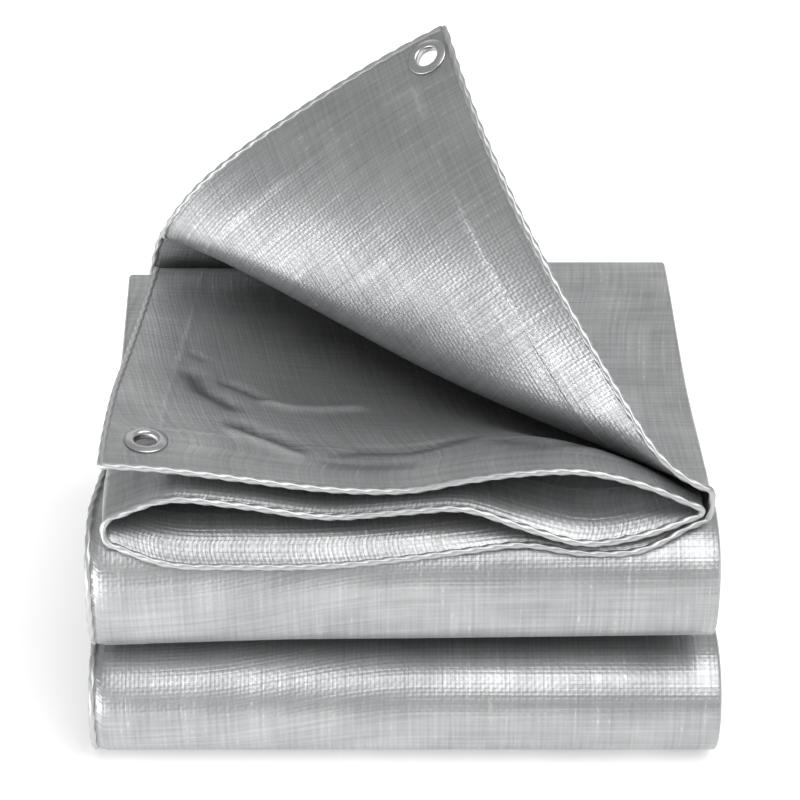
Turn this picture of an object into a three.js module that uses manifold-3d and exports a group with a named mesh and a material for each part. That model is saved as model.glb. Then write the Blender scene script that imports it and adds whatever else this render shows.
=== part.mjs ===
// A folded silver tarp with one corner turned up, lying flat.
// The cloth is folded twice across its width into a strip of four layers, called F, A, B and C from
// the top. The strip is then folded back and forth along its length into a bundle.
// Millimetres. X runs along the long front, Y from the front to the back, Z up. The origin is the
// middle of the bundle's footprint.
import * as THREE from 'three';
import { mergeVertices } from 'three/addons/utils/BufferGeometryUtils.js';
import Module from 'manifold-3d';

// Cloth and hem
const SHEET = 1.0;
const BEAD = 4.0;
const BEAD_END = 4.2;
const BEAD_STEPS = [
  { inset: 0, half: 0.25 * BEAD },
  { inset: 1, half: 0.5 * BEAD },
  { inset: 3, half: 0.5 * BEAD },
  { inset: BEAD_END, half: 0.5 * SHEET },
];
const BEAD_TUCK = 6;
const HEM_WIDTH = 32;
const PIECE_GAP = 0.3;

// Eyelets, pressed through the hem strips
const EYELET = { bore: 6, barrel: 7.2, flange: 11, washer: 10, grip: 1.4 };
const EYELET_LIP = { back: -2.3, edge: 1.9, crown: 2.5, crownIn: 7.2, crownOut: 9.4 };
const EYELET_HOLE = 7.7;
const EYELET_SEAT = 0.7;
const EYELET_SIDES = 24;
const PUNCH_LENGTH = 20;
const EYELET_INSET = { flap: { side: 16, front: 16 }, top: { side: 23, front: 16.5 } };

// Layers of the strip, counted down from its upper side
const F = 0;
const A = 1;
const B = 2;
const C = 3;

// Half turns of the strip after its top layer. Heights are those of layer F. F runs round the
// outside of a turn where outer is 1, and round its inside where outer is -1. The powers shape the
// turn's first and second halves: 2 is round, and a higher one squarer. Left is F's free edge, and
// right is where its outer fold starts.
const TURNS = {
  backWrap: {
    way: 1, outer: 1, powers: [4, 4], steps: 10, y: 121.5, depth: 15.5,
    zIn: 161, zOut: 0.5, pitch: 3.4, left: -165.5, right: 163.5,
  },
  lowerFront: {
    way: -1, outer: 1, powers: [2.4, 2], steps: 8, y: -101, depth: 36,
    zIn: 0.5, zOut: 62.5, pitch: 6, left: -165.5, right: 163.5,
  },
  innerBack: {
    way: 1, outer: -1, powers: [2.2, 2.2], steps: 6, y: 98, depth: 12,
    zIn: 48, zOut: 76, pitch: 3.2, left: -164, right: 160.5,
  },
  upperFront: {
    way: -1, outer: 1, powers: [2.6, 2.4], steps: 8, y: -97.5, depth: 39.5,
    zIn: 70.5, zOut: 144, pitch: 8, left: -162.5, right: 158,
  },
  lastBack: {
    way: 1, outer: -1, powers: [2, 2], steps: 5, y: 106, depth: 5,
    zIn: 119, zOut: 129, pitch: 3.2, left: -147, right: 146,
  },
};
const RUN_STEPS = 4;
const TONGUE = { y: 80, zIn: 129, pitch: 4.6, left: -147, right: 145, bend: 14 };
const WRAP = TURNS.backWrap;
const SHOULDER = TURNS.upperFront;

// Ends of each layer across the bundle in its top, and how far the other layers' ends lie inside
// F's in the folds below
const TOP_X = {
  fLeft: -145, aLeftFront: -154, aLeftBack: -146, cLeftFront: -145.5, cLeftBack: -158,
  rightFront: 152.5, rightBack: 149.5, inner: 5,
};
const F_DRAWN_IN = { by: 5.5, fromTop: 0.7, toWrap: 0.3 };
const LOW_INSET = { aLeft: 12, cLeft: 10.5, inner: 5.5 };
const FOLD_DEPTH = { outer: 2, inner: 2.6, left: 6.5 };

// Front edges of the top layers: how far each hangs past the upper fold's shoulder and how high
// it stands off the layer below, at places across the bundle
const HEM_LINE = [
  { x: -150, cOver: 29, bOver: 22, bLift: 5, aLift: 26 },
  { x: -120, cOver: 40, bOver: 22, bLift: 16.5, aLift: 23.5 },
  { x: -85, cOver: 41.5, bOver: 22, bLift: 13.5, aLift: 18.5 },
  { x: -40, cOver: 41, bOver: 22, bLift: 6.5, aLift: 12 },
  { x: 0, cOver: 37, bOver: 22, bLift: 9.5, aLift: 11 },
  { x: 30, cOver: 33, bOver: 22, bLift: 11, aLift: 17 },
  { x: 60, cOver: 29.5, bOver: 26, bLift: 4.5, aLift: 21.5 },
  { x: 90, cOver: 34, bOver: 30, bLift: 0, aLift: 22 },
  { x: 120, cOver: 32, bOver: 27.5, bLift: 2, aLift: 14 },
  { x: 150, cOver: 15, bOver: 15, bLift: 0, aLift: 0 },
];
const LIFT_START = 8;
const LIFT_SPAN = 0.8;
const TOP = { aOver: 15, length: 241, gap: 4, hemPitch: 5, backPitch: WRAP.pitch, sag: 5 };
const TOP_PLACES = [11, 22, 46, 66, 88, 112, 136, 160, 184, 206, 226, TOP.length];

// The turned-up corner of F: it bends on a line across the bundle, first sharply and then slowly.
// The table gives the two turns in degrees at shares along that line.
const FLAP = {
  right: new THREE.Vector2(156, -104),
  left: new THREE.Vector2(-112, 112.5),
  radius: 24,
  slowLength: 233,
  lift: 20,
  liftFade: 80,
  steps: 24,
};
const FLAP_BEND = [
  { along: 0, sharp: 100, slow: 75.5 },
  { along: 0.64, sharp: 94, slow: 58 },
  { along: 1, sharp: 94, slow: 96.5 },
];

const { lerp, clamp } = THREE.MathUtils;
const smooth = (t) => THREE.MathUtils.smoothstep(t, 0, 1);

// One column of the hem table at any x, as a smooth curve through its rows
function hemAt(column, x) {
  const last = HEM_LINE.length - 1;
  let i = 0;
  while (i < last - 1 && x > HEM_LINE[i + 1].x) {
    i += 1;
  }
  const here = HEM_LINE[i];
  const next = HEM_LINE[i + 1];
  const slope = (k) => {
    const before = HEM_LINE[Math.max(k - 1, 0)];
    const after = HEM_LINE[Math.min(k + 1, last)];
    return (after[column] - before[column]) / (after.x - before.x);
  };
  const width = next.x - here.x;
  const t = clamp((x - here.x) / width, 0, 1);
  const rise = t * t * (3 - 2 * t);
  return here[column] * (1 - rise) + next[column] * rise
    + width * t * (1 - t) * ((1 - t) * slope(i) - t * slope(i + 1));
}

// A point of a half turn for one layer. The angle runs from -90 to 90 degrees.
function turnPoint(turn, layer, angle) {
  const inset = turn.outer * layer * turn.pitch;
  const middle = 0.5 * (turn.zIn + turn.zOut);
  const half = 0.5 * (turn.zOut - turn.zIn);
  const power = turn.powers[angle < 0 ? 0 : 1];
  const cosine = Math.max(Math.cos(angle), 0) ** (2 / power);
  const sine = Math.sign(angle) * Math.abs(Math.sin(angle)) ** (2 / power);
  return {
    y: turn.y + turn.way * (turn.depth - inset) * cosine,
    z: middle + Math.sign(half) * (Math.abs(half) - inset) * sine,
  };
}

// Distances in front of the flap's bend line and along it
const BEND = FLAP.left.clone().sub(FLAP.right);
const BEND_LENGTH = BEND.length();
BEND.normalize();
const BEND_FRONT = new THREE.Vector2(-BEND.y, BEND.x);
function fromBend(x, y) {
  const place = new THREE.Vector2(x, y).sub(FLAP.right);
  return { along: place.dot(BEND) / BEND_LENGTH, front: place.dot(BEND_FRONT) };
}

// One column of the flap's table at a share along its bend line, on a parabola through its rows
function bendAt(column, along) {
  return FLAP_BEND.reduce((sum, row, i) => {
    const [one, two] = FLAP_BEND.filter((other, k) => k !== i);
    const weight = (along - one.along) * (along - two.along);
    return sum + row[column] * weight / ((row.along - one.along) * (row.along - two.along));
  }, 0);
}

// The height of layer C behind the shoulder
const SHOULDER_TOP = SHOULDER.zOut + TOP.gap;
const TOP_RUN = WRAP.y - SHOULDER.y;
function topLine(y) {
  const t = clamp((y - SHOULDER.y) / TOP_RUN, 0, 1);
  const back = WRAP.zIn - C * TOP.backPitch;
  return lerp(SHOULDER_TOP, back, t) - TOP.sag * Math.sin(Math.PI * t) ** 2;
}

// A point of layer F in the top of the bundle, flat behind the bend line and curled up before it
function flapPoint(x, t) {
  const y = WRAP.y - TOP.length * (1 - t);
  const { along, front } = fromBend(x, y);
  const u = clamp(along, 0, 1);
  const ahead = Math.max(front, 0);
  const sharp = THREE.MathUtils.degToRad(bendAt('sharp', u));
  const slow = THREE.MathUtils.degToRad(bendAt('slow', u));
  const step = ahead / FLAP.steps;
  let out = Math.min(front, 0);
  let up = FLAP.lift * smooth(u) * smooth(1 + Math.min(front, 0) / FLAP.liftFade);
  for (let i = 0; i < FLAP.steps; i += 1) {
    const place = (i + 0.5) * step;
    const angle = Math.min(place / FLAP.radius, sharp) + slow * smooth(place / FLAP.slowLength);
    out += Math.cos(angle) * step;
    up += Math.sin(angle) * step;
  }
  const foot = FLAP.right.clone().addScaledVector(BEND, along * BEND_LENGTH);
  const pitch = lerp(TOP.hemPitch, TOP.backPitch, smooth(2 * t));
  const base = topLine(front > 0 ? foot.y : y) + C * pitch;
  foot.addScaledVector(BEND_FRONT, out);
  return new THREE.Vector3(foot.x, foot.y, base + up);
}

// A point of any layer in the top of the bundle, with t from 0 at the front edge to 1 at the back
function topPoint(layer, x, t) {
  if (layer === F) return flapPoint(x, t);
  const above = C - layer;
  const over = layer === A ? TOP.aOver : hemAt(layer === B ? 'bOver' : 'cOver', x);
  const run = t * (over + TOP_RUN);
  const raise = above * lerp(TOP.hemPitch, TOP.backPitch, smooth(2 * t));
  const point = new THREE.Vector3(x, SHOULDER.y + run - over, 0);
  if (run < over) {
    const grow = TOP.gap + raise;
    const shoulder = {
      ...SHOULDER,
      depth: SHOULDER.depth + grow,
      zIn: SHOULDER.zIn - grow,
      zOut: SHOULDER.zOut + grow,
    };
    const place = turnPoint(shoulder, F, 0.5 * Math.PI - (over - run) / SHOULDER.depth);
    point.setY(place.y).setZ(place.z);
  } else {
    point.setZ(topLine(point.y) + raise);
  }
  if (layer !== C) {
    const hemFront = fromBend(x, SHOULDER.y - over).front - LIFT_START;
    const share = (fromBend(x, point.y).front - LIFT_START) / Math.max(hemFront, 1);
    point.z += hemAt(layer === A ? 'aLift' : 'bLift', x) * smooth(share / LIFT_SPAN);
  }
  return point;
}

// Rows along the cloth. Each has a function that places any layer at any x, how far the strip has
// left its top layer (low, 0 to 1), where its ends lie then, how far F's edge is drawn in before it
// goes down the back, and the row's distance from a hemmed end.
function topRow(place) {
  const t = place / TOP.length;
  const { by, fromTop } = F_DRAWN_IN;
  return {
    place,
    at: (layer, x) => topPoint(layer, x, t),
    fine: true,
    low: 0,
    left: WRAP.left,
    right: WRAP.right,
    drawnIn: by * smooth((t - fromTop) / (1 - fromTop)),
    fromEnd: place,
  };
}

function topRows() {
  const beads = BEAD_STEPS.map((step) => step.inset);
  const places = [...beads, ...TOP_PLACES, HEM_WIDTH, HEM_WIDTH + PIECE_GAP];
  return places.sort((p, q) => p - q).map(topRow);
}

function turnRows(turn) {
  const rows = [];
  for (let i = 0; i <= turn.steps; i += 1) {
    const angle = Math.PI * (i / turn.steps - 0.5);
    const at = (layer, x) => {
      const place = turnPoint(turn, layer, angle);
      return new THREE.Vector3(x, place.y, place.z);
    };
    const { left, right } = turn;
    rows.push({ at, fine: false, low: 1, left, right, drawnIn: 0, fromEnd: Infinity });
  }
  return rows;
}

// The wrap down the back leaves the top layer's shape little by little
function wrapRows() {
  return turnRows(WRAP).slice(1).map((row, i) => {
    const share = (i + 1) / WRAP.steps;
    const low = smooth(share);
    const fade = Math.max(Math.cos(Math.PI * share), 0) ** 2;
    const at = (layer, x) => {
      const start = turnPoint(WRAP, layer, -0.5 * Math.PI);
      const wider = x < 0 ? WRAP.left - TOP_X.fLeft : WRAP.right - TOP_X.rightBack;
      const topX = x - low * wider;
      const offset = topPoint(layer, topX, 1);
      offset.sub(new THREE.Vector3(topX, start.y, start.z)).multiplyScalar(fade);
      return row.at(layer, x).add(offset);
    };
    const drawnIn = F_DRAWN_IN.by * smooth(1 - share / F_DRAWN_IN.toWrap);
    return { ...row, at, low, drawnIn, fine: share < 0.5 };
  });
}

// A row of the flat run between two turns, with t from 0 at the first to 1 at the second
function runRow(from, to, t) {
  const blend = (first, second) => lerp(first, second, smooth(t));
  const y = lerp(from.y, to.y, t);
  const z = blend(from.zOut, to.zIn);
  const pitch = blend(from.pitch, to.pitch) * -Math.sign(to.y - from.y);
  return {
    at: (layer, x) => new THREE.Vector3(x, y, z + layer * pitch),
    fine: false,
    low: 1,
    left: lerp(from.left, to.left, t),
    right: lerp(from.right, to.right, t),
    drawnIn: 0,
    fromEnd: Infinity,
  };
}

function runRows(from, to) {
  const rows = [];
  for (let i = 1; i < RUN_STEPS; i += 1) {
    rows.push(runRow(from, to, i / RUN_STEPS));
  }
  return rows;
}

// The last stretch of cloth, up to its other hemmed end
function tongueRows() {
  const last = TURNS.lastBack;
  const insets = BEAD_STEPS.map((step) => step.inset).reverse();
  return [TONGUE.bend, ...insets].map((inset) => {
    const t = (last.y - TONGUE.y - inset) / (last.y - TONGUE.y);
    return { ...runRow(last, TONGUE, t), fromEnd: inset };
  });
}

function clothRows() {
  const rows = [...topRows(), ...wrapRows()];
  const turns = Object.values(TURNS);
  for (let i = 1; i < turns.length; i += 1) {
    rows.push(...runRows(turns[i - 1], turns[i]), ...turnRows(turns[i]));
  }
  return [...rows, ...tongueRows()];
}

// Columns across the cloth, from F's free edge to A's. A panel column is placed by its inset from the
// free edge, by its share of the panel's width, or on F by its share of the way from the edge to the
// bend line (ahead) or from there to the fold (behind). A fold column has its angle round the fold.
// Columns marked fine are used in the top of the bundle only.
const fineColumns = (layer, key, places) => places.map((place) => ({ layer, [key]: place, fine: true }));

// A panel with a free edge, from that edge inwards. Its hem strip ends a fine gap before the fold.
function freePanel(layer, key, stripShares, endShares) {
  const edge = BEAD_STEPS.map((step) => ({ layer, inset: step.inset, fine: false }));
  const strip = [
    ...edge,
    { layer, inset: BEAD_TUCK, fine: layer === A },
    ...fineColumns(layer, key, stripShares),
  ].map((column) => ({ ...column, hem: 'strip' }));
  const parted = { layer, [key]: stripShares.at(-1), shift: PIECE_GAP, fine: true, hem: 'parted' };
  return [...strip, parted, ...fineColumns(layer, key, endShares)];
}

function middlePanel(layer) {
  const ends = [0, 1].map((share) => ({ layer, share, fine: false }));
  const columns = [...ends, ...fineColumns(layer, 'share', [0.1, 0.22, 0.36, 0.5, 0.6, 0.7, 0.8, 0.9])];
  return columns.sort((p, q) => p.share - q.share);
}

function foldColumns(fold, from, to, steps) {
  const columns = [];
  for (let i = 1; i < steps; i += 1) {
    columns.push({ fold, from, to, angle: Math.PI * (i / steps), fine: false });
  }
  return columns;
}

function clothColumns() {
  return [
    ...freePanel(F, 'ahead', [0.1, 0.26, 0.45, 0.62, 0.76, 0.87], [0.94, 1]),
    ...fineColumns(F, 'behind', [0.45]),
    { layer: F, share: 1, fine: false },
    ...foldColumns('outer', F, C, 5),
    ...middlePanel(C).reverse(),
    ...foldColumns('left', C, B, 5),
    ...middlePanel(B),
    ...foldColumns('inner', B, A, 4),
    { layer: A, share: 1, fine: false },
    ...freePanel(A, 'share', [0.1, 0.2, 0.31, 0.42, 0.52, 0.62, 0.72, 0.82, 0.9], [0.96]).reverse(),
  ];
}

// The left and right ends of a layer in a row, with t from 0 to 1 along the top of the bundle
function panelEnds(layer, row, t) {
  const cTop = lerp(TOP_X.cLeftFront, TOP_X.cLeftBack, t);
  const aTop = lerp(TOP_X.aLeftFront, TOP_X.aLeftBack, t * t);
  const topLeft = [TOP_X.fLeft, aTop, cTop, cTop][layer];
  const lowLeft = row.left + [0, LOW_INSET.aLeft, LOW_INSET.cLeft, LOW_INSET.cLeft][layer];
  const drawnIn = layer === F ? row.drawnIn : 0;
  const inside = layer === A || layer === B;
  const topRight = lerp(TOP_X.rightFront, TOP_X.rightBack, t) - (inside ? TOP_X.inner : 0);
  const lowRight = row.right - (inside ? LOW_INSET.inner : 0);
  return [lerp(topLeft, lowLeft, row.low) + drawnIn, lerp(topRight, lowRight, row.low)];
}

// Where the bend line crosses a row of F, kept off the panel's edges
function bendX(t, left, right) {
  const y = WRAP.y - TOP.length * (1 - t);
  const x = FLAP.right.x + (y - FLAP.right.y) * (BEND.x / BEND.y);
  return clamp(x, left + 2 * BEAD_TUCK, right - BEAD_TUCK);
}

function panelX(column, left, right, t) {
  const shift = column.shift ?? 0;
  if (column.inset !== undefined) return left + column.inset;
  if (column.ahead !== undefined) return lerp(left + BEAD_TUCK, bendX(t, left, right), column.ahead) + shift;
  if (column.behind !== undefined) return lerp(bendX(t, left, right), right, column.behind);
  return lerp(left, right, column.share) + shift;
}

// A point of the cloth's middle surface
function clothPoint(row, column) {
  const t = row.place === undefined ? 1 : row.place / TOP.length;
  if (column.fold === undefined) {
    const [left, right] = panelEnds(column.layer, row, t);
    const point = row.at(column.layer, panelX(column, left, right, t));
    if (column.layer === F && row.low > 0) tuckBead(point, row, column, left);
    return point;
  }
  const side = column.fold === 'left' ? 0 : 1;
  const from = row.at(column.from, panelEnds(column.from, row, t)[side]);
  const to = row.at(column.to, panelEnds(column.to, row, t)[side]);
  const half = from.clone().sub(to).multiplyScalar(0.5);
  const depth = Math.min(half.length(), FOLD_DEPTH[column.fold]);
  const point = from.clone().add(to).multiplyScalar(0.5);
  point.addScaledVector(half, Math.cos(column.angle));
  point.x += (side ? 1 : -1) * depth * Math.sin(column.angle);
  return point;
}

// Below the top layer, F's roped edge is pressed in level with the face that it lies in
function tuckBead(point, row, column, left) {
  const inner = row.at(A, left).sub(row.at(F, left)).normalize();
  const reach = column.inset ?? Infinity;
  const share = smooth((BEAD_TUCK - reach) / (BEAD_TUCK - BEAD_END));
  point.addScaledVector(inner, row.low * share * 0.5 * (BEAD - SHEET));
}

function halfThickness(row, column) {
  const inset = column.inset ?? Infinity;
  const reach = Math.min(inset, row.fromEnd);
  const step = BEAD_STEPS.find((bead) => Math.abs(bead.inset - reach) < 0.01);
  if (inset < BEAD_END && row.fromEnd < BEAD_END) {
    return inset === 0 || row.fromEnd === 0 ? BEAD_STEPS[0].half : BEAD_STEPS[1].half;
  }
  return step ? step.half : 0.5 * SHEET;
}

// Which solid a patch of cloth belongs to. The hem strips that hold the eyelets are parted from the
// sheet by a fine gap.
function ownerOf(row, column, after) {
  const inHem = row.place <= HEM_WIDTH && column.hem && after.hem;
  if (!inHem) return 'sheet';
  const parted = row.place === HEM_WIDTH || column.hem !== after.hem;
  if (parted) return 'gap';
  return column.layer === F ? 'flap' : 'top';
}

// The whole middle surface: points, half thicknesses and owned triangles
function clothSurface() {
  const rows = clothRows();
  const columns = clothColumns();
  const coarse = columns.filter((column) => !column.fine);
  const points = [];
  const halves = [];
  const triangles = [];
  const grid = rows.map((row) => {
    const used = row.fine ? columns : coarse;
    return used.map((column) => {
      points.push(clothPoint(row, column));
      halves.push(halfThickness(row, column));
      return points.length - 1;
    });
  });
  const put = (owner, ...corners) => triangles.push({ owner, corners });
  for (let i = 0; i + 1 < rows.length; i += 1) {
    const here = grid[i];
    const next = grid[i + 1];
    if (rows[i].fine === rows[i + 1].fine) {
      const used = rows[i].fine ? columns : coarse;
      for (let j = 0; j + 1 < used.length; j += 1) {
        const owner = ownerOf(rows[i], used[j], used[j + 1]);
        put(owner, here[j], here[j + 1], next[j + 1]);
        put(owner, here[j], next[j + 1], next[j]);
      }
    } else {
      let k = 0;
      for (let j = 0; j + 1 < columns.length; j += 1) {
        put('sheet', here[j], here[j + 1], next[k]);
        if (!columns[j + 1].fine) {
          put('sheet', here[j + 1], next[k + 1], next[k]);
          k += 1;
        }
      }
    }
  }
  return { rows, columns, grid, points, halves, triangles, normals: surfaceNormals(points, triangles) };
}

function surfaceNormals(points, triangles) {
  const normals = points.map(() => new THREE.Vector3());
  for (const { corners } of triangles) {
    const [p, q, r] = corners.map((corner) => points[corner]);
    const face = q.clone().sub(p).cross(r.clone().sub(p)).normalize();
    const sides = [[p, q, r], [q, r, p], [r, p, q]];
    sides.forEach(([at, one, two], i) => {
      const corner = one.clone().sub(at).angleTo(two.clone().sub(at));
      normals[corners[i]].addScaledVector(face, corner || 0);
    });
  }
  return normals.map((normal) => normal.normalize());
}

// Thickens one owner's patches into a closed solid
function clothSolid(surface, owner) {
  const positions = [];
  const index = [];
  const places = new Map();
  const place = (vertex, side) => {
    const key = `${vertex}:${side}`;
    if (!places.has(key)) {
      const spot = surface.points[vertex].clone();
      spot.addScaledVector(surface.normals[vertex], side * surface.halves[vertex]);
      places.set(key, positions.length / 3);
      positions.push(spot.x, spot.y, spot.z);
    }
    return places.get(key);
  };
  const edges = new Map();
  for (const { corners } of surface.triangles.filter((triangle) => triangle.owner === owner)) {
    const [p, q, r] = corners;
    index.push(place(p, 1), place(q, 1), place(r, 1));
    index.push(place(p, -1), place(r, -1), place(q, -1));
    for (const [from, to] of [[p, q], [q, r], [r, p]]) {
      if (!edges.delete(`${to}:${from}`)) edges.set(`${from}:${to}`, [from, to]);
    }
  }
  for (const [from, to] of edges.values()) {
    index.push(place(from, 1), place(from, -1), place(to, -1));
    index.push(place(from, 1), place(to, -1), place(to, 1));
  }
  const geometry = new THREE.BufferGeometry();
  geometry.setAttribute('position', new THREE.Float32BufferAttribute(positions, 3));
  geometry.setIndex(index);
  return geometry;
}

// Where an eyelet goes: the middle of its place on the cloth, facing the side that shows
function eyeletPlace(layer, inset) {
  const { flange } = EYELET;
  const spot = (across, along) => (
    clothPoint(topRow(inset.front + along), { layer, inset: inset.side + across }));
  const across = spot(flange, 0).sub(spot(-flange, 0));
  const along = spot(0, flange).sub(spot(0, -flange));
  const facing = across.cross(along).normalize();
  if (layer === F) {
    facing.negate();
  }
  const turn = new THREE.Quaternion().setFromUnitVectors(new THREE.Vector3(0, 1, 0), facing);
  const reach = EYELET_SEAT * flange;
  const around = [spot(-reach, 0), spot(reach, 0), spot(0, -reach), spot(0, reach)];
  const middle = spot(0, 0);
  around.forEach((point) => middle.add(point));
  return { middle: middle.multiplyScalar(1 / (around.length + 1)), turn };
}

function eyeletRing() {
  const { bore, barrel, flange, washer, grip } = EYELET;
  const { back, edge, crown, crownIn, crownOut } = EYELET_LIP;
  const profile = [
    [bore, back], [washer, back], [washer, -grip], [barrel, -grip], [barrel, grip], [flange, grip],
    [flange, edge], [crownOut, crown], [crownIn, crown], [bore, edge], [bore, back],
  ];
  return new THREE.LatheGeometry(profile.map(([r, h]) => new THREE.Vector2(r, h)), EYELET_SIDES);
}

// Cuts one geometry from another
const wasm = await Module();
wasm.setup();
function solidOf(geometry) {
  const bare = geometry.clone();
  bare.deleteAttribute('normal');
  bare.deleteAttribute('uv');
  const merged = mergeVertices(bare, 1e-4);
  const mesh = new wasm.Mesh({
    numProp: 3,
    vertProperties: new Float32Array(merged.attributes.position.array),
    triVerts: new Uint32Array(merged.index.array),
  });
  return new wasm.Manifold(mesh);
}

function cut(geometry, tool) {
  const mesh = solidOf(geometry).subtract(solidOf(tool)).getMesh();
  const result = new THREE.BufferGeometry();
  result.setAttribute('position', new THREE.Float32BufferAttribute(mesh.vertProperties, 3));
  result.setIndex([...mesh.triVerts]);
  return result;
}

const cloth = new THREE.MeshStandardMaterial({ color: 0xb4b6b8, roughness: 0.4, metalness: 0.6 });
const metal = new THREE.MeshStandardMaterial({ color: 0xc9cacc, roughness: 0.3, metalness: 0.9 });

const tarp = new THREE.Group();
function addPiece(name, geometry, material) {
  const piece = new THREE.Mesh(geometry, material);
  piece.name = name;
  tarp.add(piece);
  return piece;
}

const surface = clothSurface();
addPiece('tarp_sheet', clothSolid(surface, 'sheet'), cloth);

for (const [corner, layer] of [['flap', F], ['top', A]]) {
  const { middle, turn } = eyeletPlace(layer, EYELET_INSET[corner]);
  const punch = new THREE.CylinderGeometry(EYELET_HOLE, EYELET_HOLE, PUNCH_LENGTH, EYELET_SIDES);
  punch.applyQuaternion(turn);
  punch.translate(middle.x, middle.y, middle.z);
  addPiece(`hem_strip_${corner}`, cut(clothSolid(surface, corner), punch), cloth);
  const ring = addPiece(`eyelet_${corner}`, eyeletRing(), metal);
  ring.position.copy(middle);
  ring.quaternion.copy(turn);
}

export default tarp;
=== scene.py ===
import math

import bpy
import numpy as np
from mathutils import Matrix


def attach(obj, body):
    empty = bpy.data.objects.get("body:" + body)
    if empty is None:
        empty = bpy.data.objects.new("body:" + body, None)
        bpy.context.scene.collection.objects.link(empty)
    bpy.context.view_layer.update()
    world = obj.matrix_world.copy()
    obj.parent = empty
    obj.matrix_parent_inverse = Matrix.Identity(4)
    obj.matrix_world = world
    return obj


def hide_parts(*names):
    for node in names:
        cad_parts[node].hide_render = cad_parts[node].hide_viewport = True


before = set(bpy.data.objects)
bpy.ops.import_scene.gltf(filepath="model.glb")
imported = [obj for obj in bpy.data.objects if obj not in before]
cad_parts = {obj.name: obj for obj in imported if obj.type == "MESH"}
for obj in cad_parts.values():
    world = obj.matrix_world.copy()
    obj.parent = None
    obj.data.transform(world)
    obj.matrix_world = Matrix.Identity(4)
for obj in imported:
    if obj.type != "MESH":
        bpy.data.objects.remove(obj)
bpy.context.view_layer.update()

# The cloth: one rectangle of plain-woven flat tape, coated silver on both sides, its edge welded into a
# hem of double thickness. It is folded twice across its width into a strip of four layers, and the strip
# back and forth along its length. Only its own stiffness holds it, and one corner is turned up.

# The layers from the top. All sizes of the folds are in millimetres.
F, A, B, C = 0, 1, 2, 3

# Half turns of the strip after its top layer. F runs round the outside of a turn where outer is 1. The
# powers shape its first and second halves: 2 is round, a higher one squarer. Heights are those of layer
# F. Left is F's free edge, and right is where its outer fold starts.
TURNS = dict(
    back_wrap=dict(way=1, outer=1, powers=(4, 4), steps=36, y=121.5, depth=15.5,
                   z_in=161, z_out=0.5, pitch=3.4, left=-165.5, right=163.5),
    lower_front=dict(way=-1, outer=1, powers=(2.4, 2), steps=34, y=-101, depth=36,
                     z_in=0.5, z_out=62.5, pitch=6, left=-165.5, right=163.5),
    inner_back=dict(way=1, outer=-1, powers=(2.2, 2.2), steps=12, y=98, depth=12,
                    z_in=48, z_out=76, pitch=3.2, left=-164, right=160.5),
    upper_front=dict(way=-1, outer=1, powers=(2.6, 2.4), steps=36, y=-97.5, depth=39.5,
                     z_in=70.5, z_out=144, pitch=8, left=-162.5, right=158),
    last_back=dict(way=1, outer=-1, powers=(2, 2), steps=10, y=106, depth=5,
                   z_in=119, z_out=129, pitch=3.2, left=-147, right=146),
)
# How much higher the upper fold's underside lies at places across it
DROOP = dict(x=[-165, -60, 20, 165], rise=[-2, 2.5, 3.5, 6])
RUN_STEPS = 8
WRAP, SHOULDER = TURNS["back_wrap"], TURNS["upper_front"]
TONGUE = dict(y=80, z_in=129, pitch=4.6, left=-147, right=145)
TONGUE_STEPS = 10

# Where each layer ends across the bundle in its top, and how far the other layers' ends lie inside
# F's in the folds below
TOP_X = dict(f_left=-145, a_left_front=-154, a_left_back=-146, c_left_front=-145.5, c_left_back=-158,
             right_front=152.5, right_back=149.5, inner=5)
LOW_INSET = dict(a_left=12, c_left=10.5, inner=5.5)
FOLD_DEPTH = dict(outer=2, inner=2.6, left=6.5)
F_DRAWN_IN = dict(by=5.5, from_top=0.7, to_wrap=0.3)

# Front edges of the top layers: how far each hangs past the upper fold's shoulder, and how high it
# stands off the layer below, at places across the bundle
HEM_LINE = dict(
    x=[-150, -120, -85, -40, 0, 30, 60, 90, 120, 150],
    c_over=[29, 40, 41.5, 41, 37, 33, 29.5, 34, 32, 15],
    b_over=[22, 22, 22, 22, 22, 22, 26, 30, 27.5, 15],
    b_lift=[5, 16.5, 13.5, 6.5, 9.5, 11, 4.5, 0, 2, 0],
    a_lift=[26, 23.5, 18.5, 12, 11, 17, 21.5, 22, 14, 0],
)
LIFT_START, LIFT_SPAN = 8, 0.8
TOP = dict(a_over=15, length=241, gap=4, hem_pitch=5, back_pitch=3.4, sag=5)
TOP_RUN = WRAP["y"] - SHOULDER["y"]

# The turned-up corner bends on a line across the bundle, first sharply and then slowly. Both turns are
# given in degrees at shares along that line.
FLAP = dict(right=(156, -104), left=(-112, 112.5), radius=24, slow_length=233,
            lift=20, lift_fade=80, steps=40)
FLAP_BEND = dict(along=[0, 0.64, 1], sharp=[100, 94, 94], slow=[75.5, 58, 96.5])


def lerp(a, b, t):
    return a + (b - a) * t


def smooth(t):
    t = np.clip(t, 0, 1)
    return t * t * (3 - 2 * t)


def hem_at(column, x):
    """One column of the hem table at any x, as a smooth curve through its places."""
    xs, ys = np.array(HEM_LINE["x"], float), np.array(HEM_LINE[column], float)
    k = np.arange(len(xs))
    before, after = np.maximum(k - 1, 0), np.minimum(k + 1, k[-1])
    slope = (ys[after] - ys[before]) / (xs[after] - xs[before])
    i = np.clip(np.searchsorted(xs, x) - 1, 0, k[-1] - 1)
    width = xs[i + 1] - xs[i]
    t = np.clip((x - xs[i]) / width, 0, 1)
    bend = width * t * (1 - t) * ((1 - t) * slope[i] - t * slope[i + 1])
    return lerp(ys[i], ys[i + 1], smooth(t)) + bend


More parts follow.
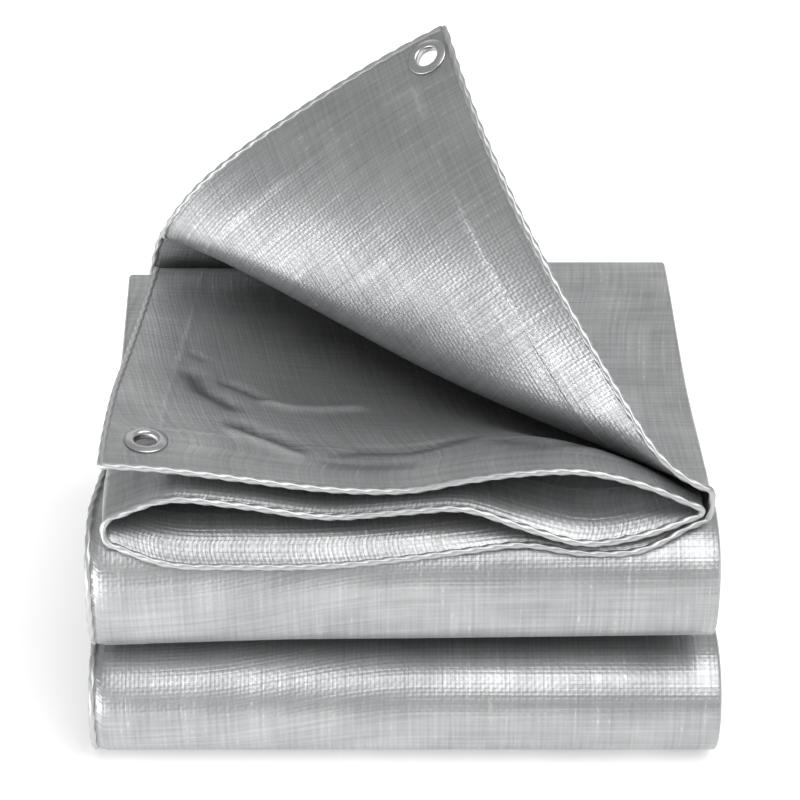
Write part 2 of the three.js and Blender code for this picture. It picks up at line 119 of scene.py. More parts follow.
def turn_point(turn, layer, angle):
    """Depth and height of one layer on a half turn, with the angle from -90 to 90 degrees."""
    inset = turn["outer"] * layer * turn["pitch"]
    middle = 0.5 * (turn["z_in"] + turn["z_out"])
    half = 0.5 * (turn["z_out"] - turn["z_in"])
    power = np.where(np.asarray(angle) < 0, *turn["powers"])
    cosine = np.maximum(np.cos(angle), 0) ** (2 / power)
    sine = np.sign(angle) * np.abs(np.sin(angle)) ** (2 / power)
    y = turn["y"] + turn["way"] * (turn["depth"] - inset) * cosine
    return y, middle + np.sign(half) * (abs(half) - inset) * sine


bend_right, bend_left = np.array(FLAP["right"], float), np.array(FLAP["left"], float)
bend_length = np.linalg.norm(bend_left - bend_right)
bend_way = (bend_left - bend_right) / bend_length
bend_front = np.array([-bend_way[1], bend_way[0]])


def from_bend(x, y):
    """Share of the way along the flap's bend line, and the distance in front of it."""
    dx, dy = x - bend_right[0], y - bend_right[1]
    along = (dx * bend_way[0] + dy * bend_way[1]) / bend_length
    return along, dx * bend_front[0] + dy * bend_front[1]


def bend_at(column, along):
    """One column of the flap's table along its bend line, on a parabola through its places."""
    return np.polyval(np.polyfit(FLAP_BEND["along"], FLAP_BEND[column], 2), along)


def top_line(y):
    """The height of layer C behind the shoulder."""
    t = np.clip((y - SHOULDER["y"]) / TOP_RUN, 0, 1)
    front, back = SHOULDER["z_out"] + TOP["gap"], WRAP["z_in"] - C * TOP["back_pitch"]
    return lerp(front, back, t) - TOP["sag"] * np.sin(math.pi * t) ** 2


def flap_point(x, t):
    """Layer F in the top of the bundle, flat behind the bend line and curled up in front of it."""
    y = WRAP["y"] - TOP["length"] * (1 - t)
    along, front = from_bend(x, y)
    u, ahead, behind = np.clip(along, 0, 1), np.maximum(front, 0), np.minimum(front, 0)
    sharp, slow = np.radians(bend_at("sharp", u)), np.radians(bend_at("slow", u))
    step = ahead / FLAP["steps"]
    out, up = behind.copy(), FLAP["lift"] * smooth(u) * smooth(1 + behind / FLAP["lift_fade"])
    for i in range(FLAP["steps"]):
        place = (i + 0.5) * step
        angle = np.minimum(place / FLAP["radius"], sharp) + slow * smooth(place / FLAP["slow_length"])
        out = out + np.cos(angle) * step
        up = up + np.sin(angle) * step
    foot = bend_right + np.outer(along * bend_length, bend_way)
    pitch = lerp(TOP["hem_pitch"], TOP["back_pitch"], smooth(2 * t))
    base = top_line(np.where(front > 0, foot[:, 1], y)) + C * pitch
    return np.column_stack([foot + np.outer(out, bend_front), base + up])


# Creases pressed into layer A: lines on it, how wide each is and how far it rises (or sinks, below 0)
CREASES = [
    dict(line=[(-118, 25), (-107, 12)], width=3, rise=-0.9),
    dict(line=[(-117, 2), (-107, -31), (-91, -47), (-84, -58)], width=5.5, rise=-2.4),
    dict(line=[(-101, -11), (-84, -23), (-72, -36)], width=4, rise=-1.8),
    dict(line=[(-84, -33), (-60, -39), (-45, -36), (-14, -24)], width=4, rise=1.5),
    dict(line=[(-95, -66), (-78, -75), (-62, -82), (-48, -90)], width=4.5, rise=-2.4),
    dict(line=[(-95, -75), (-78, -84), (-62, -91), (-47, -98)], width=4, rise=1.2),
    dict(line=[(-43, -92), (-22, -85), (8, -85), (42, -80)], width=4, rise=-1.4),
    dict(line=[(-46, -99), (-16, -99), (12, -97)], width=3.5, rise=-1.0),
    dict(line=[(40, -84), (70, -97), (98, -92)], width=5, rise=-1.2),
]
CREASE_END = 0.2


def crease_rise(x, y):
    """How far the creases move layer A up at a place. Each fades out towards its ends."""
    total = np.zeros_like(x)
    for row in CREASES:
        line = np.array(row["line"], float)
        steps = np.linalg.norm(np.diff(line, axis=0), axis=1)
        before = np.concatenate([[0], np.cumsum(steps)])
        nearest, share = np.full_like(x, np.inf), np.zeros_like(x)
        for (ax, ay), (bx, by), size, start in zip(line, line[1:], steps, before):
            k = np.clip(((x - ax) * (bx - ax) + (y - ay) * (by - ay)) / size ** 2, 0, 1)
            apart = np.hypot(x - lerp(ax, bx, k), y - lerp(ay, by, k))
            share = np.where(apart < nearest, (start + k * size) / before[-1], share)
            nearest = np.minimum(nearest, apart)
        ends = smooth(share / CREASE_END) * smooth((1 - share) / CREASE_END)
        total = total + row["rise"] * ends * np.exp(-(nearest / row["width"]) ** 2)
    return total


def top_point(layer, x, t):
    """Any layer in the top of the bundle, with t from 0 at the front edge to 1 at the back."""
    if layer == F:
        return flap_point(x, t)
    over = np.full_like(x, TOP["a_over"]) if layer == A else hem_at("b_over" if layer == B else "c_over", x)
    run = t * (over + TOP_RUN)
    rise = (C - layer) * lerp(TOP["hem_pitch"], TOP["back_pitch"], smooth(2 * t))
    grow = TOP["gap"] + rise
    shoulder = dict(SHOULDER, depth=SHOULDER["depth"] + grow,
                    z_in=SHOULDER["z_in"] - grow, z_out=SHOULDER["z_out"] + grow)
    round_y, round_z = turn_point(shoulder, F, 0.5 * math.pi - (over - run) / SHOULDER["depth"])
    flat_y = SHOULDER["y"] + run - over
    y = np.where(run < over, round_y, flat_y)
    z = np.where(run < over, round_z, top_line(flat_y) + rise)
    if layer != C:
        hem_front = from_bend(x, SHOULDER["y"] - over)[1] - LIFT_START
        share = (from_bend(x, y)[1] - LIFT_START) / np.maximum(hem_front, 1)
        z = z + hem_at("a_lift" if layer == A else "b_lift", x) * smooth(share / LIFT_SPAN)
    if layer == A:
        z = z + crease_rise(x, y)
    return np.column_stack([x, y, z])


# The rows of the cloth from its front hem to its other end. A row places any layer at any x, and says
# how far the strip has left its top layer (low, 0 to 1) and how far the row is from a hemmed end.
HEM, BEAD_INSET = 32, 2
HEM_STEPS, TOP_STEPS = 21, 80
FINE_WRAP = 0.3
hem_insets = np.linspace(BEAD_INSET, HEM, HEM_STEPS)
row_places = np.concatenate([hem_insets, np.linspace(HEM, TOP["length"], TOP_STEPS)[1:]])


def top_row(place):
    t = place / TOP["length"]
    drawn_in = F_DRAWN_IN["by"] * smooth((t - F_DRAWN_IN["from_top"]) / (1 - F_DRAWN_IN["from_top"]))
    return dict(fine=True, low=0, t=t, from_end=place, left=WRAP["left"], right=WRAP["right"],
                drawn_in=drawn_in, at=lambda layer, x: top_point(layer, x, t))


def droop(turn, x):
    return np.interp(x, DROOP["x"], DROOP["rise"]) if turn is SHOULDER else 0 * x


def turn_row(turn, angle):
    def at(layer, x):
        y, z = turn_point(turn, layer, angle)
        return np.column_stack([x, np.full_like(x, y), z + smooth(0.5 - angle / math.pi) * droop(turn, x)])
    return dict(fine=False, low=1, t=1, from_end=math.inf, drawn_in=0,
                left=turn["left"], right=turn["right"], at=at)


def wrap_row(share):
    """The wrap down the back leaves the top layer's shape little by little."""
    row = turn_row(WRAP, math.pi * (share - 0.5))
    fade = max(math.cos(math.pi * share), 0) ** 2
    low = float(smooth(share))

    def at(layer, x):
        wider = np.where(x < 0, WRAP["left"] - TOP_X["f_left"], WRAP["right"] - TOP_X["right_back"])
        top_x = x - low * wider
        start_y, start_z = turn_point(WRAP, layer, -0.5 * math.pi)
        start = np.column_stack([top_x, np.full_like(x, start_y), np.full_like(x, start_z)])
        return row["at"](layer, x) + fade * (top_point(layer, top_x, 1) - start)
    drawn_in = F_DRAWN_IN["by"] * smooth(1 - share / F_DRAWN_IN["to_wrap"])
    return dict(row, low=low, drawn_in=drawn_in, fine=share < FINE_WRAP, at=at)


def run_row(start, end, t):
    y, z = lerp(start["y"], end["y"], t), lerp(start["z_out"], end["z_in"], smooth(t))
    step = lerp(start["pitch"], end["pitch"], smooth(t)) * -np.sign(end["y"] - start["y"])

    def at(layer, x):
        return np.column_stack([x, np.full_like(x, y), z + layer * step + smooth(t) * droop(end, x)])
    return dict(fine=False, low=1, t=1, from_end=math.inf, drawn_in=0, at=at,
                left=lerp(start["left"], end["left"], t), right=lerp(start["right"], end["right"], t))


rows = [top_row(place) for place in row_places]
rows += [wrap_row(i / WRAP["steps"]) for i in range(1, WRAP["steps"] + 1)]
turns = list(TURNS.values())
for start, end in zip(turns, turns[1:]):
    rows += [run_row(start, end, i / RUN_STEPS) for i in range(1, RUN_STEPS)]
    rows += [turn_row(end, math.pi * (i / end["steps"] - 0.5)) for i in range(end["steps"] + 1)]
tongue_length = turns[-1]["y"] - TONGUE["y"]
for place in np.linspace(tongue_length, BEAD_INSET, TONGUE_STEPS + 1)[1:]:
    rows.append(dict(run_row(turns[-1], TONGUE, 1 - place / tongue_length), from_end=place))

# The columns across the cloth, from F's free edge round to A's. Those that are not kept below the top
# layer are the fine ones that its creases and eyelets need.
COLUMNS = dict(f_ahead=37, f_behind=19, middle=29, a=101)
FOLD_COLUMNS = dict(outer=11, left=13, inner=9)
AHEAD_POWER = 1.4
f_ahead = 1 - np.linspace(1, 0, COLUMNS["f_ahead"])[1:] ** AHEAD_POWER
f_behind = np.linspace(0, 1, COLUMNS["f_behind"])[1:]
middle_shares = np.linspace(0, 1, COLUMNS["middle"])
a_shares = np.linspace(0, 1, COLUMNS["a"])[:-1]
fold_angles = {name: math.pi * np.linspace(0, 1, count)[1:-1] for name, count in FOLD_COLUMNS.items()}


def every(count, step):
    return np.arange(count) % step == 0


kept = np.concatenate([
    every(len(hem_insets), 4), np.zeros(len(f_ahead), bool), np.ones(len(f_behind), bool),
    np.ones(len(fold_angles["outer"]), bool), every(len(middle_shares), 4),
    np.ones(len(fold_angles["left"]), bool), every(len(middle_shares), 4),
    np.ones(len(fold_angles["inner"]), bool), every(len(a_shares), 10), every(len(hem_insets), 4)[::-1],
])
BEAD_TUCK, BEAD_PRESS = 6, 1.5
BEND_CLEAR = dict(left=12, right=6)
CROWD_WIDTH = 90


def panel_ends(layer, row):
    """The left and right ends of a layer in a row."""
    t, inside = row["t"], layer in (A, B)
    a_left = lerp(TOP_X["a_left_front"], TOP_X["a_left_back"], t * t)
    c_left = lerp(TOP_X["c_left_front"], TOP_X["c_left_back"], t)
    top_left = {F: TOP_X["f_left"], A: a_left}.get(layer, c_left)
    low_left = row["left"] + {F: 0, A: LOW_INSET["a_left"]}.get(layer, LOW_INSET["c_left"])
    top_right = lerp(TOP_X["right_front"], TOP_X["right_back"], t) - inside * TOP_X["inner"]
    low_right = row["right"] - inside * LOW_INSET["inner"]
    drawn_in = row["drawn_in"] if layer == F else 0
    return lerp(top_left, low_left, row["low"]) + drawn_in, lerp(top_right, low_right, row["low"])


def f_columns(row):
    """F's columns follow the bend line, so that the roll is smooth, and crowd where it nears the edge."""
    left, right = panel_ends(F, row)
    y = WRAP["y"] - TOP["length"] * (1 - row["t"])
    bend = bend_right[0] + (y - bend_right[1]) * bend_way[0] / bend_way[1]
    bend = min(max(bend, left + BEND_CLEAR["left"]), right - BEND_CLEAR["right"])
    crowd = min(1, (bend - left) / CROWD_WIDTH)
    if row["low"] > 0:
        crowd = lerp(BEND_CLEAR["left"] / CROWD_WIDTH, 1, row["low"])
    insets = BEAD_INSET + (hem_insets - BEAD_INSET) * crowd
    bend = max(bend, left + insets[-1] + 1)
    return left + np.concatenate([insets, lerp(insets[-1], bend - left, f_ahead),
                                  lerp(bend - left, right - left, f_behind)])


def fold_points(row, name, upper, lower):
    side = 0 if name == "left" else 1
    start, end = (row["at"](layer, np.array([panel_ends(layer, row)[side]])) for layer in (upper, lower))
    half = 0.5 * (start - end)
    angles = fold_angles[name][:, None]
    points = 0.5 * (start + end) + half * np.cos(angles)
    depth = min(np.linalg.norm(half), FOLD_DEPTH[name])
    points[:, 0] += (2 * side - 1) * depth * np.sin(angles[:, 0])
    return points


def cloth_row(row):
    """All points of one row, each point's distance from the cloth's free edges, and how far the creases
    raise it.
    """
    ends = {layer: panel_ends(layer, row) for layer in (F, A, B, C)}
    f_x = f_columns(row)
    face = row["at"](F, f_x)
    if row["low"] > 0:
        inward = row["at"](A, f_x[:1]) - row["at"](F, f_x[:1])
        press = row["low"] * BEAD_PRESS * smooth((BEAD_TUCK + f_x[0] - f_x) / BEAD_TUCK)
        face = face + press[:, None] * inward / np.linalg.norm(inward)
    c_x = lerp(ends[C][1], ends[C][0], middle_shares)
    b_x = lerp(ends[B][0], ends[B][1], middle_shares)
    a_x = np.concatenate([lerp(ends[A][1], ends[A][0] + HEM, a_shares), ends[A][0] + hem_insets[::-1]])
    parts = [face, fold_points(row, "outer", F, C), row["at"](C, c_x), fold_points(row, "left", C, B),
             row["at"](B, b_x), fold_points(row, "inner", B, A), row["at"](A, a_x)]
    points = np.vstack(parts)
    edge = np.full(len(points), row["from_end"])
    edge[:len(f_x)] = np.minimum(edge[:len(f_x)], f_x - ends[F][0])
    edge[-len(a_x):] = np.minimum(edge[-len(a_x):], a_x - ends[A][0])
    # The creases' rise is also kept for the colour, which paints shade into their troughs and a highlight
    # onto their ridges.
    crease = np.zeros(len(points))
    if row["low"] == 0:
        crease[-len(a_x):] = crease_rise(*parts[-1].T[:2])
    return points, edge, crease


# The sheet's and the hem's thickness, and the punched holes: how far in from the side and the front edge
MM = 0.001
SHEET_THICK, HEM_THICK = 0.8, 1.2
EYELET_REACH, EYELET_HOLE, HOLE_DEPTH = 11, 7.7, 8
EYELET_INSET = dict(eyelet_flap=(16, 16), eyelet_top=(23, 16.5))
RIM_SHARE = 0.7
FAR_FROM_EDGE = 99.0


def eyelet_place(layer, side, front):
    """The middle of an eyelet on a layer's front corner, and the way that its shown side faces."""
    def spot(i, j):
        row = top_row(front + j)
        return row["at"](layer, np.array([panel_ends(layer, row)[0] + side + i]))[0]

    def ring(reach):
        return [spot(i * reach, j * reach) for i, j in ((1, 0), (-1, 0), (0, 1), (0, -1))]
    right, left, back, ahead = ring(EYELET_REACH)
    facing = np.cross(right - left, back - ahead) * (-1 if layer == F else 1)
    middle = np.mean([spot(0, 0), *ring(RIM_SHARE * EYELET_REACH)], axis=0)
    return middle, facing / np.linalg.norm(facing)


eyelets = {name: eyelet_place(layer, *EYELET_INSET[name])
           for name, layer in (("eyelet_flap", F), ("eyelet_top", A))}

grid, from_edge, pressed, welded, across, along = [], [], [], [], [], []
for row in rows:
    points, edge, crease = cloth_row(row)
    keep = np.ones(len(kept), bool) if row["fine"] else kept
    points = points[keep]
    if row["low"] == 0:
        along.append(np.full(len(points), row["from_end"]))
    else:
        same = slice(None) if len(points) == len(grid[-1]) else kept
        along.append(along[-1][same] + np.linalg.norm((points - grid[-1][same])[:, 1:], axis=1))
    steps = np.linalg.norm(np.diff(points, axis=0), axis=1)
    across.append(BEAD_INSET + np.concatenate([[0], np.cumsum(steps)]))
    grid.append(points)
    from_edge.append(edge[keep])
    pressed.append(crease[keep])
    near = edge[keep] if row["low"] == 0 else np.full(len(points), FAR_FROM_EDGE)
    welded.append(np.minimum(near, FAR_FROM_EDGE))
counts = [len(points) for points in grid]
starts = np.cumsum([0] + counts)
spots = np.vstack(grid)
from_edge = np.concatenate(from_edge)
weave_place = np.column_stack([np.concatenate(across), np.concatenate(along)])

faces = []
for i in range(len(rows) - 1):
    here, there = starts[i] + np.arange(counts[i]), starts[i + 1] + np.arange(counts[i + 1])
    if counts[i] == counts[i + 1]:
        faces += np.column_stack([here[:-1], here[1:], there[1:], there[:-1]]).tolist()
        continue
    k = 0
    for j in range(counts[i] - 1):
        faces.append([here[j], here[j + 1], there[k]])
        if kept[j + 1]:
            faces.append([here[j + 1], there[k + 1], there[k]])
            k += 1

for middle, facing in eyelets.values():
    away = spots - middle
    depth = away @ facing
    flat = away - np.outer(depth, facing)
    radius = np.linalg.norm(flat, axis=1)
    inside = (radius < EYELET_HOLE) & (np.abs(depth) < HOLE_DEPTH)
    faces = [face for face in faces if not all(inside[face])]
    rim = sorted({v for face in faces for v in face if inside[v]})
    spots[rim] = middle + np.outer(depth[rim], facing) + flat[rim] * (EYELET_HOLE / radius[rim])[:, None]

cloth_mesh = bpy.data.meshes.new("tarp_cloth")
cloth_mesh.from_pydata((spots * MM).tolist(), [], [[int(v) for v in face] for face in faces])
weave_layer = cloth_mesh.uv_layers.new(name="weave")
corner_spots = np.empty(len(cloth_mesh.loops), int)
cloth_mesh.loops.foreach_get("vertex_index", corner_spots)
weave_layer.data.foreach_set("uv", (weave_place[corner_spots] * MM).ravel())
for name, values in (("crease", pressed), ("from_edge", welded)):
    point_layer = cloth_mesh.attributes.new(name, "FLOAT", "POINT")
    point_layer.data.foreach_set("value", np.concatenate(values))
cloth_mesh.polygons.foreach_set("use_smooth", np.ones(len(cloth_mesh.polygons), bool))
tarp = bpy.data.objects.new("tarp_cloth", cloth_mesh)
bpy.context.scene.collection.objects.link(tarp)
hem_group = tarp.vertex_groups.new(name="hem")
hem_group.add(np.nonzero(from_edge < HEM - 1)[0].tolist(), 1.0, "REPLACE")
thickness = tarp.modifiers.new("thickness", "SOLIDIFY")
thickness.thickness = HEM_THICK * MM
thickness.offset = 0
thickness.vertex_group = "hem"
thickness.thickness_vertex_group = SHEET_THICK / HEM_THICK
thickness.use_quality_normals = True


def add_node(tree, kind, inputs=(), **settings):
    """A shader node with its settings, and its inputs as values or links."""
    made = tree.nodes.new(kind)
    for name, value in settings.items():
        setattr(made, name, value)
    for name, value in dict(inputs).items():
        if isinstance(value, bpy.types.NodeSocket):
            tree.links.new(value, made.inputs[name])
        else:
            made.inputs[name].default_value = value
    return made


def calc(tree, operation, *values):
    return add_node(tree, "ShaderNodeMath", dict(enumerate(values)), operation=operation).outputs[0]


def new_finish(name):
    finish = bpy.data.materials.new(name)
    finish.use_nodes = True
    return finish, finish.node_tree, finish.node_tree.nodes["Principled BSDF"]


def weave_height(tree, u, v, tape):
    """A plain weave of flat tapes: warp and weft take turns on top, each with a round crown."""
    crowns = []
    for way in (u, v):
        share = calc(tree, "FRACT", calc(tree, "DIVIDE", way, tape))
        crowns.append(calc(tree, "SINE", calc(tree, "MULTIPLY", share, math.pi)))
    warp = calc(tree, "MULTIPLY", crowns[0], calc(tree, "MULTIPLY_ADD", crowns[1], 0.4, 0.6))
    weft = calc(tree, "MULTIPLY", crowns[1], calc(tree, "MULTIPLY_ADD", crowns[0], 0.4, 0.6))
    place = add_node(tree, "ShaderNodeCombineXYZ", {0: u, 1: v, 2: 0.5 * tape}).outputs[0]
    turn = add_node(tree, "ShaderNodeTexChecker", {"Vector": place, "Scale": 1 / tape}).outputs["Fac"]
    return add_node(tree, "ShaderNodeMix", {"Factor": turn, "A": warp, "B": weft}).outputs[0]


def ramp(tree, value, span, to):
    """A value taken from one span to another, and held at its ends."""
    return add_node(tree, "ShaderNodeMapRange", {
        "Value": value, "From Min": span[0], "From Max": span[1],
        "To Min": to[0], "To Max": to[1]}).outputs[0]


def streaks(tree, u, v, along_u, along_v, detail):
    place = add_node(tree, "ShaderNodeCombineXYZ", {
        0: calc(tree, "MULTIPLY", u, along_u), 1: calc(tree, "MULTIPLY", v, along_v)}).outputs[0]
    noise = add_node(tree, "ShaderNodeTexNoise", {"Vector": place, "Scale": 1.0, "Detail": detail})
    return noise.outputs["Fac"]


TAPE, WELD_LINE = 2.2 * MM, 29.0
STREAK_FINE, STREAK_LONG, BLOTCH, PATCH = 520, 16, 26, 260
SHADE_SPAN = (0.36, 0.64)
DARK_SILVER, PALE_SILVER = (0.33, 0.335, 0.34, 1), (0.55, 0.555, 0.56, 1)
WORN_SILVER = (0.8, 0.805, 0.81, 1)
cloth_finish, tree, shader = new_finish("silver_weave")
place = add_node(tree, "ShaderNodeUVMap", uv_map="weave").outputs[0]
split = add_node(tree, "ShaderNodeSeparateXYZ", {0: place})
u, v = split.outputs[0], split.outputs[1]
weave = weave_height(tree, u, v, TAPE)
warp_streak = streaks(tree, u, v, STREAK_FINE, STREAK_LONG, 4)
weft_streak = streaks(tree, u, v, STREAK_LONG, STREAK_FINE, 4)
blotch = streaks(tree, u, v, BLOTCH, BLOTCH, 5)
streak = calc(tree, "MULTIPLY", calc(tree, "ADD", warp_streak, weft_streak), 0.5)
shade = calc(tree, "MULTIPLY_ADD", streak, 0.65, calc(tree, "MULTIPLY", blotch, 0.35))
tint = ramp(tree, shade, SHADE_SPAN, (0.0, 1.0))
edge_place = add_node(tree, "ShaderNodeAttribute", attribute_name="from_edge").outputs["Fac"]
rough_patch = streaks(tree, u, v, PATCH, PATCH, 5)
off_weld = calc(tree, "ABSOLUTE", calc(tree, "SUBTRACT", calc(
    tree, "MULTIPLY_ADD", rough_patch, 7.0, calc(tree, "SUBTRACT", edge_place, 3.5)), WELD_LINE))
weld = calc(tree, "MULTIPLY", ramp(tree, off_weld, (0.3, 1.6), (1.0, 0.0)),
            ramp(tree, blotch, (0.42, 0.58), (0.15, 1.0)))
scuff = ramp(tree, calc(tree, "MULTIPLY", warp_streak, rough_patch), (0.36, 0.46), (0.0, 1.0))
bright = calc(tree, "MAXIMUM", calc(tree, "MULTIPLY", weld, 0.3), calc(tree, "MULTIPLY", scuff, 0.5))
# Painted shade and highlight from the creases: the silver is darker along their troughs and paler along
# their ridges.
crease = add_node(tree, "ShaderNodeAttribute", attribute_name="crease").outputs["Fac"]
tint_with_crease_shade = calc(tree, "MULTIPLY_ADD", crease, 0.5, tint)
colour = add_node(tree, "ShaderNodeMix", {
    "Factor": tint_with_crease_shade, "A": DARK_SILVER, "B": PALE_SILVER}, data_type="RGBA", clamp_factor=False)
worn = add_node(tree, "ShaderNodeMix", {
    "Factor": bright, "A": colour.outputs["Result"], "B": WORN_SILVER}, data_type="RGBA")
gloss = ramp(tree, shade, SHADE_SPAN, (0.44, 0.34))
weave_bump = add_node(tree, "ShaderNodeBump", {"Strength": 0.4, "Distance": 0.2 * MM, "Height": weave})
streak_bump = add_node(tree, "ShaderNodeBump", {
    "Strength": 0.8, "Distance": 0.4 * MM, "Height": streak, "Normal": weave_bump.outputs[0]})
weld_bump = add_node(tree, "ShaderNodeBump", {
    "Strength": 0.5, "Distance": 0.3 * MM, "Height": weld, "Normal": streak_bump.outputs[0]})
tree.links.new(worn.outputs["Result"], shader.inputs["Base Color"])
tree.links.new(gloss, shader.inputs["Roughness"])
tree.links.new(weld_bump.outputs[0], shader.inputs["Normal"])
shader.inputs["Metallic"].default_value = 0.85
cloth_mesh.materials.append(cloth_finish)
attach(tarp, "root")
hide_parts("tarp_sheet", "hem_strip_flap", "hem_strip_top")

# The roped edge: a three-strand rope laid in the hem all round the cloth. The tight hem shows its
# twist. It is one closed loop, inside the cloth's own edge.
BEAD_RADIUS, BEAD_LAY, STRANDS, STRAND_RISE = 1.7, 10.5, 3, 0.3
BEAD_SIDES, BEAD_STEP, LEAST_STEP = 10, 1.2, 0.3
SMOOTH_PASSES = 2
# The bead is the sheet's own silver cloth. Its paler colour is a painted highlight for the light that its
# round shape catches.
DARK_BEAD, PALE_BEAD = (0.42, 0.425, 0.43, 1), (0.6, 0.605, 0.61, 1)


def even_loop(points, step):
    """A closed line through the points, smooth between them, with even steps."""
    before, after, later = np.roll(points, 1, 0), np.roll(points, -1, 0), np.roll(points, -2, 0)
    fine = []
    for s in np.linspace(0, 1, 8, endpoint=False):
        fine.append(0.5 * (2 * points + (after - before) * s
                           + (2 * before - 5 * points + 4 * after - later) * s ** 2
                           + (3 * points - before - 3 * after + later) * s ** 3))
    line = np.stack(fine, 1).reshape(-1, 3)
    line = np.vstack([line, line[:1]])
    reach = np.concatenate([[0], np.cumsum(np.linalg.norm(np.diff(line, axis=0), axis=1))])
    places = np.linspace(0, reach[-1], int(reach[-1] / step), endpoint=False)
    return np.column_stack([np.interp(places, reach, line[:, k]) for k in range(3)]), places


first_row, last_row = grid[0], grid[-1]
left_edge = np.array([points[0] for points in grid])
right_edge = np.array([points[-1] for points in grid])
loop = np.vstack([first_row[:-1], right_edge[:-1], last_row[:0:-1], left_edge[:0:-1]])
apart = np.linalg.norm(loop - np.roll(loop, 1, 0), axis=1) > LEAST_STEP
bead_line, bead_places = even_loop(loop[apart], BEAD_STEP)
for _ in range(SMOOTH_PASSES):
    bead_line = 0.25 * np.roll(bead_line, 1, 0) + 0.5 * bead_line + 0.25 * np.roll(bead_line, -1, 0)
ways = np.roll(bead_line, -1, 0) - np.roll(bead_line, 1, 0)
ways /= np.linalg.norm(ways, axis=1)[:, None]
sides = np.empty_like(ways)
side = np.cross(ways[0], (0, 0, 1))
for i, way in enumerate(ways):
    side = side - way * (side @ way)
    side /= np.linalg.norm(side)
    sides[i] = side
ups = np.cross(ways, sides)
angles = np.linspace(0, 2 * math.pi, BEAD_SIDES, endpoint=False)
swell = BEAD_RADIUS + STRAND_RISE * np.cos(STRANDS * angles - 2 * math.pi * bead_places[:, None] / BEAD_LAY)
bead_spots = bead_line[:, None] + swell[..., None] * (
    np.cos(angles)[None, :, None] * sides[:, None] + np.sin(angles)[None, :, None] * ups[:, None])
rings = len(bead_line)
index = np.arange(rings * BEAD_SIDES).reshape(rings, BEAD_SIDES)
next_ring, next_side = np.roll(index, -1, 0), np.roll(index, -1, 1)
bead_faces = np.stack([index, next_side, np.roll(next_ring, -1, 1), next_ring], -1).reshape(-1, 4)
bead_mesh = bpy.data.meshes.new("hem_bead")
bead_mesh.from_pydata((bead_spots.reshape(-1, 3) * MM).tolist(), [], bead_faces.tolist())
bead_mesh.polygons.foreach_set("use_smooth", np.ones(len(bead_mesh.polygons), bool))
bead = bpy.data.objects.new("hem_bead", bead_mesh)
bpy.context.scene.collection.objects.link(bead)
bead_finish, tree, shader = new_finish("roped_hem")
fleck = add_node(tree, "ShaderNodeTexNoise", {"Scale": 900.0, "Detail": 3.0})
# The random flecks sit on a painted highlight: both tones are paler than the sheet's.
tint = add_node(tree, "ShaderNodeMix", {
    "Factor": fleck.outputs["Fac"], "A": DARK_BEAD, "B": PALE_BEAD}, data_type="RGBA")
fleck_bump = add_node(tree, "ShaderNodeBump", {
    "Strength": 0.3, "Distance": 0.15 * MM, "Height": fleck.outputs["Fac"]})
tree.links.new(tint.outputs["Result"], shader.inputs["Base Color"])
tree.links.new(fleck_bump.outputs[0], shader.inputs["Normal"])
shader.inputs["Metallic"].default_value = 0.75
shader.inputs["Roughness"].default_value = 0.38
bead_mesh.materials.append(bead_finish)
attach(bead, "root")

# The eyelets: pressed rings of bright aluminium, one in each shown corner. A barrel goes through the
# punched hole and is rolled over a washer on the other side, so the ring is fixed.
EYELET_SIDES = 64
EYELET_PROFILE = [(6, -2.2), (6.6, -2.4), (9.4, -2.2), (10, -1.8), (10, -1.25), (7.2, -1.2), (7.2, 1.2),
                  (11, 1.2), (11.1, 1.4), (10.6, 1.65), (9.6, 1.95), (8.6, 2.3), (7.8, 2.4), (7.0, 2.3),
                  (6.4, 2.0), (6.05, 1.5)]
metal_finish, tree, shader = new_finish("eyelet_metal")
scratch = add_node(tree, "ShaderNodeTexNoise", {"Scale": 700.0, "Detail": 5.0, "Roughness": 0.7})
dull = ramp(tree, scratch.outputs["Fac"], (0.35, 0.7), (0.18, 0.36))
tree.links.new(dull, shader.inputs["Roughness"])
shader.inputs["Base Color"].default_value = (0.6, 0.6, 0.61, 1)
shader.inputs["Metallic"].default_value = 1.0
for name, (middle, facing) in eyelets.items():
    side = np.cross(facing, (1, 0, 0))
    side /= np.linalg.norm(side)
    ahead = np.cross(facing, side)
    angles = np.linspace(0, 2 * math.pi, EYELET_SIDES, endpoint=False)
    ring_spots = np.array([[middle + r * (math.cos(a) * side + math.sin(a) * ahead) + h * facing
                            for r, h in EYELET_PROFILE] for a in angles])
    size = len(EYELET_PROFILE)
    index = np.arange(EYELET_SIDES * size).reshape(EYELET_SIDES, size)
    next_turn = np.roll(index, -1, 0)
    ring_faces = np.stack([index, np.roll(index, -1, 1), np.roll(next_turn, -1, 1), next_turn], -1)
    ring_mesh = bpy.data.meshes.new(name + "_ring")
    ring_mesh.from_pydata((ring_spots.reshape(-1, 3) * MM).tolist(), [], ring_faces.reshape(-1, 4).tolist())
    ring_mesh.polygons.foreach_set("use_smooth", np.ones(len(ring_mesh.polygons), bool))
    ring_mesh.materials.append(metal_finish)
    ring = bpy.data.objects.new(name + "_ring", ring_mesh)
    bpy.context.scene.collection.objects.link(ring)
    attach(ring, "root")
    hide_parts(name)

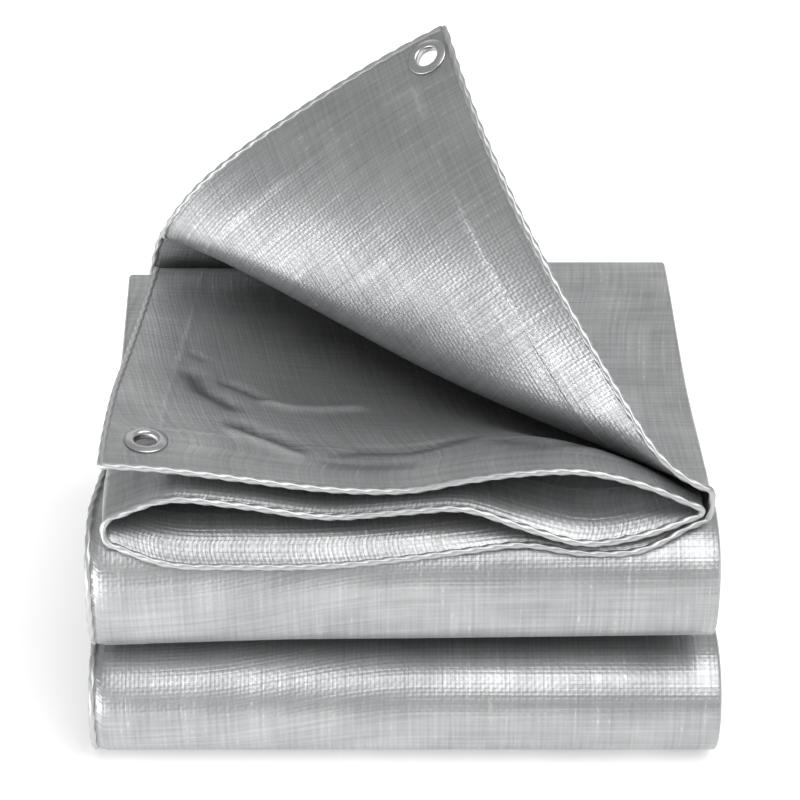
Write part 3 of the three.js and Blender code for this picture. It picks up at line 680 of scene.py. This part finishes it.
# The stage: a plain pale floor, a broad soft light above the front, low ones at the left and the back,
# and the camera at the height and distance that the bundle is seen from.
FLOOR_REACH = 6.0
floor_corners = [(x * FLOOR_REACH, y * FLOOR_REACH, 0) for x, y in ((-1, -1), (1, -1), (1, 1), (-1, 1))]
floor_mesh = bpy.data.meshes.new("floor")
floor_mesh.from_pydata(floor_corners, [], [(0, 1, 2, 3)])
floor = bpy.data.objects.new("floor", floor_mesh)
bpy.context.scene.collection.objects.link(floor)
floor_finish, tree, shader = new_finish("pale_floor")
shader.inputs["Base Color"].default_value = (0.9, 0.9, 0.9, 1)
shader.inputs["Roughness"].default_value = 0.8
shader.inputs["Emission Color"].default_value = (1, 1, 1, 1)
shader.inputs["Emission Strength"].default_value = 0.32
floor_mesh.materials.append(floor_finish)

SKY = dict(way=(0.35, -0.36, 0.86), spread=60, power=2.2)
sky_light = bpy.data.lights.new("sky_light", "SUN")
sky_light.energy = SKY["power"]
sky_light.angle = math.radians(SKY["spread"])
sky = bpy.data.objects.new("sky_light", sky_light)
sky.location = SKY["way"]
sky.rotation_euler = sky.location.to_track_quat("Z", "Y").to_euler()
bpy.context.scene.collection.objects.link(sky)

PANELS = dict(
    left_light=dict(place=(-0.6, -0.46, 0.09), size=(0.7, 0.18), power=2.0),
    back_light=dict(place=(0.1, 2.0, 1.2), size=(2.4, 1.4), power=4.2),
)
for name, row in PANELS.items():
    panel_light = bpy.data.lights.new(name, "AREA")
    panel_light.shape = "RECTANGLE"
    panel_light.size, panel_light.size_y = row["size"]
    panel_light.energy = row["power"]
    panel = bpy.data.objects.new(name, panel_light)
    panel.location = row["place"]
    panel.rotation_euler = panel.location.to_track_quat("Z", "Y").to_euler()
    bpy.context.scene.collection.objects.link(panel)
world = bpy.data.worlds.new("studio")
world.use_nodes = True
world.node_tree.nodes["Background"].inputs["Color"].default_value = (1, 1, 1, 1)
world.node_tree.nodes["Background"].inputs["Strength"].default_value = 0.4
bpy.context.scene.world = world
bpy.context.scene.view_settings.view_transform = "Standard"

CAMERA_PLACE, CAMERA_DOWN, CAMERA_LENS = (-2.6, -1226.9, 913.0), 32, 119.8
camera_data = bpy.data.cameras.new("camera")
camera_data.lens = CAMERA_LENS
camera = bpy.data.objects.new("camera", camera_data)
camera.location = [x * MM for x in CAMERA_PLACE]
camera.rotation_euler = (math.radians(90 - CAMERA_DOWN), 0, 0)
bpy.context.scene.collection.objects.link(camera)
bpy.context.scene.camera = camera
